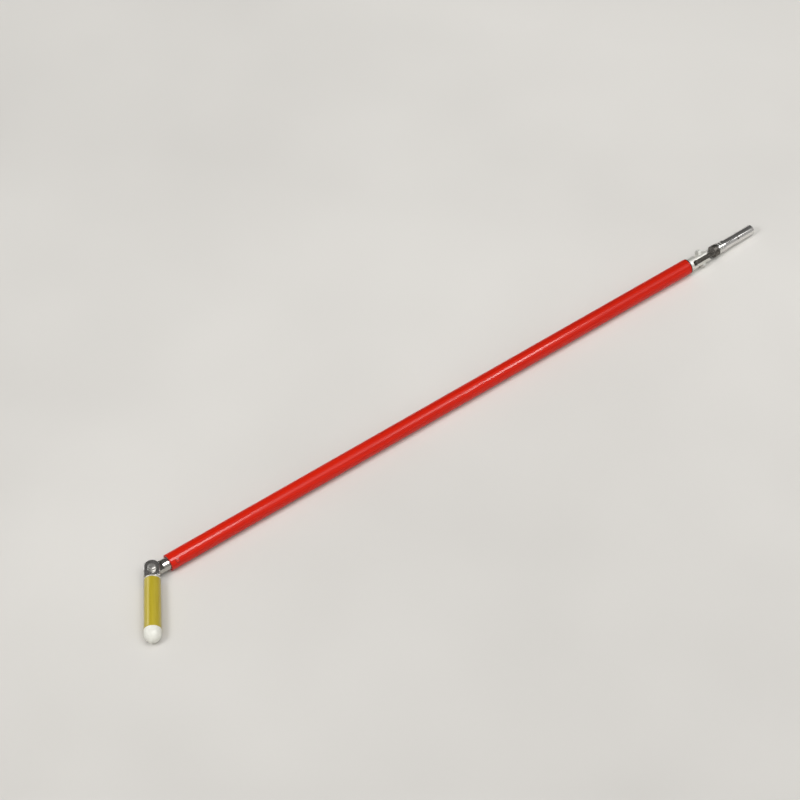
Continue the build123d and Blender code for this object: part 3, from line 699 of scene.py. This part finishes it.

# Lower shank: a chrome-plated steel bar, glued and riveted into the tube's near end. Outside the tube
# it is milled down to a flat tongue with a round end, which the handle's fork takes between its ears.
# Its chrome colour is darker and greyer than the tool shank's, as painted shade.
SHADED_CHROME_DARK = (0.36, 0.35, 0.32, 1)
SHADED_CHROME_LIGHT = (0.54, 0.53, 0.49, 1)
LOWER_EDGE = 0.3 * MM
# Painted shade: the lower bar's chrome colours are darker and greyer than the tool shank's.
shaded_chrome, shaded_chrome_shader = new_material("shaded_chrome")
shaded_chrome_shader.inputs["Metallic"].default_value = 1.0
shaded_chrome_skin = add_noise(shaded_chrome, CHROME_WEAR, detail=4.0)
vary_colour(shaded_chrome, shaded_chrome_shader, shaded_chrome_skin, SHADED_CHROME_DARK, SHADED_CHROME_LIGHT)
vary_roughness(shaded_chrome, shaded_chrome_shader, shaded_chrome_skin, on_dark=0.16, on_light=0.24)
lower_bar = eased_copy("lower_shank", "lower_bar", shaded_chrome, LOWER_EDGE)
put_on(lower_bar, "pole", "chrome_steel", "lower_shank")

# Lower rivet: a solid rivet right through tube, sleeve and shank, with a low dome on each side that
# was painted over with the tube's red. A painted shade darkens the paint round the rim of each dome.
RIVET_LEAN = radians(50)
RIVET_WIDTH = 5.0 * MM
DOME_HEIGHT = 0.9 * MM
DOME_SKIRT = 0.8 * MM
DOME_STEPS = 10
RIVET_STEPS = 64
PAINT_LUMP = (3.0 * MM,) * 3
RIM_WIDTH = 1.6 * MM
RIM_PAINTED_SHADE = (0.14, 0.008, 0.004, 1)
rivet_line = Vector((0, -sin(RIVET_LEAN), cos(RIVET_LEAN)))
rivet_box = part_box("lower_rivet")
rivet_middle = (rivet_box[0] + rivet_box[1]) / 2
rivet_reach, dome_radius = span("lower_rivet", rivet_middle, rivet_line)[1:]


def darken_rim(material, shader):
    """The paint of both domes is darker towards the rim, as painted shade."""
    nodes, links = material.node_tree.nodes, material.node_tree.links
    paint = shader.inputs["Base Color"].links[0].from_socket
    coordinates = nodes.new("ShaderNodeTexCoord")
    centred = nodes.new("ShaderNodeMapping")
    centred.vector_type = "TEXTURE"
    centred.inputs["Location"].default_value = rivet_middle
    centred.inputs["Rotation"].default_value = (RIVET_LEAN, 0, 0)
    flat = nodes.new("ShaderNodeVectorMath")
    flat.operation = "MULTIPLY"
    flat.inputs[1].default_value = (1, 1, 0)
    reach = nodes.new("ShaderNodeVectorMath")
    reach.operation = "LENGTH"
    rim = nodes.new("ShaderNodeMapRange")
    rim.inputs["From Min"].default_value = dome_radius - RIM_WIDTH
    rim.inputs["From Max"].default_value = dome_radius
    mix = nodes.new("ShaderNodeMix")
    mix.data_type = "RGBA"
    mix.inputs["B"].default_value = RIM_PAINTED_SHADE
    links.new(coordinates.outputs["Object"], centred.inputs["Vector"])
    links.new(centred.outputs["Vector"], flat.inputs[0])
    links.new(flat.outputs["Vector"], reach.inputs[0])
    links.new(reach.outputs["Value"], rim.inputs["Value"])
    links.new(rim.outputs["Result"], mix.inputs["Factor"])
    links.new(paint, mix.inputs["A"])
    links.new(mix.outputs["Result"], shader.inputs["Base Color"])


rivet_paint, rivet_shader = new_material("rivet_paint")
rivet_shader.inputs["Coat Weight"].default_value = 0.26
rivet_lumps = add_noise(rivet_paint, PAINT_LUMP)
vary_colour(rivet_paint, rivet_shader, rivet_lumps, RED_DEEP, RED_BRIGHT)
vary_roughness(rivet_paint, rivet_shader, rivet_lumps, on_dark=0.3, on_light=0.45)
# Painted shade: the rivet's paint darkens towards the rim of each dome.
darken_rim(rivet_paint, rivet_shader)
dome_sphere = (dome_radius ** 2 + DOME_HEIGHT ** 2) / (2 * DOME_HEIGHT)
dome_outline = []
for step in range(DOME_STEPS + 1):
    radius = dome_radius * step / DOME_STEPS
    dome_outline.append((rivet_reach - dome_sphere + sqrt(dome_sphere ** 2 - radius ** 2), radius))
skirt_end = rivet_reach - DOME_HEIGHT - DOME_SKIRT
dome_outline += [(skirt_end, dome_radius), (skirt_end, RIVET_WIDTH / 2)]
rivet_outline = dome_outline + [(-station, radius) for station, radius in reversed(dome_outline)]
red_rivet = turn_piece("red_rivet", rivet_middle, rivet_line, rivet_outline, rivet_paint, RIVET_STEPS)
put_on(red_rivet, "pole", "red_paint", "lower_rivet")

# Handle fork: a plated steel forging. Two round ears take the lower shank's tongue between them, and
# a neck behind them holds the spindle. Its plating is dull and patchy, and its edges are painted bright,
# partly as wear and partly as a painted highlight.
PLATED_DARK = (0.26, 0.25, 0.235, 1)
PLATED_LIGHT = (0.88, 0.87, 0.84, 1)
PLATED_GRAIN = (5.5 * MM,) * 3
PLATED_RELIEF = 0.05 * MM
PLATED_WEAR_AND_HIGHLIGHT_EDGE = (0.95, 0.94, 0.91, 1)
PLATED_WEAR_AND_HIGHLIGHT_WIDTH = 1.6 * WEAR_AND_HIGHLIGHT_WIDTH
EAR_EDGE = 0.9 * MM
satin_plate, plate_shader = new_material("satin_plate")
plate_shader.inputs["Metallic"].default_value = 1.0
plate_skin = add_noise(satin_plate, PLATED_GRAIN, detail=5.0)
vary_colour(satin_plate, plate_shader, plate_skin, PLATED_DARK, PLATED_LIGHT)
vary_roughness(satin_plate, plate_shader, plate_skin, on_dark=0.34, on_light=0.2)
add_relief(satin_plate, plate_shader, plate_skin, PLATED_RELIEF, strength=0.4)
# Painted highlight: the fork's edges are painted nearly white, partly as wear.
wear_and_highlight_edges(satin_plate, plate_shader, plate_skin, PLATED_WEAR_AND_HIGHLIGHT_EDGE, PLATED_WEAR_AND_HIGHLIGHT_WIDTH)
plated_fork = eased_copy("handle_fork", "plated_fork", satin_plate, EAR_EDGE)
put_on(plated_fork, "handle", "plated_steel", "handle_fork")

# Knuckle bolt, nut and washers: zinc-plated hardware that stands upright. The head lies on the upper
# ear, and the nut is sunk into a recess of the lower one so that the stick lies flat. Bolt and nut take
# a darker copy of the zinc as painted shade, with edges painted pale, while the washers keep the bright zinc.
SHADED_ZINC_DARK = (0.34, 0.33, 0.31, 1)
SHADED_ZINC_LIGHT = (0.56, 0.55, 0.52, 1)
ZINC_WEAR_AND_HIGHLIGHT_EDGE = (0.86, 0.85, 0.81, 1)
# Painted shade: a darker copy of the zinc plate for the knuckle's bolt and nut.
shaded_zinc, shaded_zinc_shader = new_material("shaded_zinc")
shaded_zinc_shader.inputs["Metallic"].default_value = 0.85
shaded_zinc_bloom = add_noise(shaded_zinc, ZINC_BLOOM, detail=4.0)
vary_colour(shaded_zinc, shaded_zinc_shader, shaded_zinc_bloom, SHADED_ZINC_DARK, SHADED_ZINC_LIGHT)
vary_roughness(shaded_zinc, shaded_zinc_shader, shaded_zinc_bloom, on_dark=0.36, on_light=0.46)
# Painted highlight: the bolt's and nut's edges are painted pale, partly as wear.
wear_and_highlight_edges(shaded_zinc, shaded_zinc_shader, shaded_zinc_bloom, ZINC_WEAR_AND_HIGHLIGHT_EDGE, WEAR_AND_HIGHLIGHT_WIDTH)
fold_bolt = eased_copy("knuckle_bolt", "fold_bolt", shaded_zinc, HEX_EDGE)
put_on(fold_bolt, "handle", "zinc_steel", "knuckle_bolt")
fold_nut = eased_copy("knuckle_nut", "fold_nut", shaded_zinc, HEX_EDGE)
put_on(fold_nut, "handle", "zinc_steel", "knuckle_nut")
fold_washers = eased_copy("knuckle_washers", "fold_washers", zinc_plate, WASHER_EDGE)
put_on(fold_washers, "handle", "zinc_steel", "knuckle_washers")

# Grip ferrule: a turned light-alloy ring on the fork's neck, which covers the gap in front of the
# grip and keeps it from rubbing on the fork.
FERRULE_BORE = 9.0 * MM
FERRULE_EDGE = 0.5 * MM
fold_pivot = Vector(hinge["handle_fold"]["pos_m"])
handle_line = Vector(hinge["grip_spin"]["axis"]).normalized()
ferrule_start, ferrule_end, ferrule_radius = span("grip_ferrule", fold_pivot, handle_line)
ferrule_outline = ring_outline(ferrule_start, ferrule_end, FERRULE_BORE, ferrule_radius)
alloy_ferrule = turn_piece("alloy_ferrule", fold_pivot, handle_line, ferrule_outline, satin_alloy)
ease_edges(alloy_ferrule, FERRULE_EDGE)
put_on(alloy_ferrule, "handle", "light_alloy", "grip_ferrule")

# Spindle, washer, nut and bushes: the steel rod that the grip turns on is pressed into the fork's
# neck, and a nut inside the grip keeps the grip on it. Two bushes of plain pale nylon run on it.
NYLON_DARK = (0.62, 0.61, 0.56, 1)
NYLON_LIGHT = (0.78, 0.77, 0.72, 1)
pale_nylon = new_nylon("pale_nylon", NYLON_DARK, NYLON_LIGHT)
for node in ("grip_spindle", "spindle_washer", "spindle_nut"):
    dress(node, zinc_plate)
for node in ("front_bush", "rear_bush"):
    dress(node, pale_nylon)

# Grip sleeve: a moulded sleeve of mustard-yellow plastic, a little wider towards its end, with
# rounded edges and a satin skin that hands have rubbed along its length.
YELLOW_DARK = (0.43, 0.335, 0.012, 1)
YELLOW_LIGHT = (0.49, 0.388, 0.018, 1)
YELLOW_RUB = (40 * MM, 4 * MM, 4 * MM)
YELLOW_RELIEF = 0.02 * MM
GRIP_EDGE = 0.8 * MM
GRIP_TAPER = 0.385 * MM
yellow_plastic, yellow_shader = new_material("yellow_plastic")
yellow_shader.inputs["Coat Weight"].default_value = 0.4
yellow_shader.inputs["Coat Roughness"].default_value = 0.15
handle_turn = pole_line.to_2d().angle_signed(handle_line.to_2d())
yellow_skin = add_noise(yellow_plastic, YELLOW_RUB, detail=4.0, turn=-handle_turn)
vary_colour(yellow_plastic, yellow_shader, yellow_skin, YELLOW_DARK, YELLOW_LIGHT)
vary_roughness(yellow_plastic, yellow_shader, yellow_skin, on_dark=0.3, on_light=0.4)
add_relief(yellow_plastic, yellow_shader, yellow_skin, YELLOW_RELIEF, strength=0.5)
grip_start, grip_end, grip_radius = span("grip_sleeve", fold_pivot, handle_line)
grip_bore = span("front_bush", fold_pivot, handle_line)[2]
grip_outline = [
    (grip_start, grip_bore),
    (grip_end, grip_bore),
    (grip_end, grip_radius),
    (grip_start, grip_radius - GRIP_TAPER),
]
yellow_sleeve = turn_piece("yellow_sleeve", fold_pivot, handle_line, grip_outline, yellow_plastic)
ease_edges(yellow_sleeve, GRIP_EDGE, segments=4)
put_on(yellow_sleeve, "grip", "yellow_plastic", "grip_sleeve")

# End cap: a white plastic moulding with a plug that is pressed into the grip, a short skirt as wide
# as the grip and a round end.
WHITE_DARK = (0.76, 0.755, 0.685, 1)
WHITE_LIGHT = (0.84, 0.835, 0.765, 1)
WHITE_GRAIN = (4.0 * MM,) * 3
WHITE_RELIEF = 0.03 * MM
CAP_EDGE = 0.5 * MM
CAP_ARC_STEPS = 24
white_plastic, white_shader = new_material("white_plastic")
white_skin = add_noise(white_plastic, WHITE_GRAIN, detail=5.0)
vary_colour(white_plastic, white_shader, white_skin, WHITE_DARK, WHITE_LIGHT)
vary_roughness(white_plastic, white_shader, white_skin, on_dark=0.35, on_light=0.5)
add_relief(white_plastic, white_shader, white_skin, WHITE_RELIEF, strength=0.5)
cap_start, cap_end, cap_radius = span("end_cap", fold_pivot, handle_line)
dome_start = cap_end - cap_radius
cap_outline = [(cap_start, 0), (cap_start, grip_bore), (grip_end, grip_bore), (grip_end, cap_radius)]
for step in range(CAP_ARC_STEPS):
    angle = pi / 2 * step / CAP_ARC_STEPS
    cap_outline.append((dome_start + cap_radius * sin(angle), cap_radius * cos(angle)))
cap_outline.append((cap_end, 0))
white_cap = turn_piece("white_cap", fold_pivot, handle_line, cap_outline, white_plastic)
ease_edges(white_cap, CAP_EDGE)
put_on(white_cap, "grip", "white_plastic", "end_cap")
